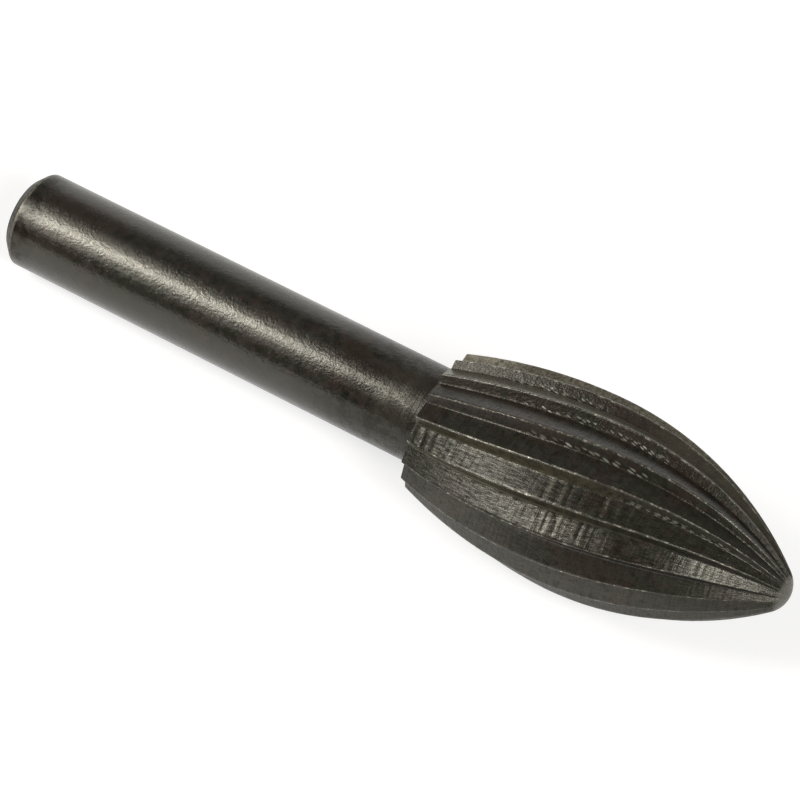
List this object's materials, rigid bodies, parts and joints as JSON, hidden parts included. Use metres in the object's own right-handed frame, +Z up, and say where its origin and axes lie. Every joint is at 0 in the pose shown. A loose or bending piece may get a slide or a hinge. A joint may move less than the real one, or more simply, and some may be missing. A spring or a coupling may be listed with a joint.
{
  "type": "rotary file",
  "caption": "Rotary file with a plain round shank and a pointed-tree head with twisted saw-tooth flutes, in blackened steel.",
  "frame": {"origin": "on the plane that the file rests on, under the middle of its bounding box", "axes": "+Z up, +X level along the file from the plain end of the shank towards the tip; the file's own axis rises 4.3 degrees towards the tip in the XZ plane"},
  "size_m": [0.052, 0.0116, 0.0117],
  "materials": {
    "blackened_steel": "black oxide over fine machining marks, semi-gloss, worn bright along the cutting edges"
  },
  "bodies": {
    "root": {"rotary_file": "blackened_steel"}
  },
  "joints": []
}
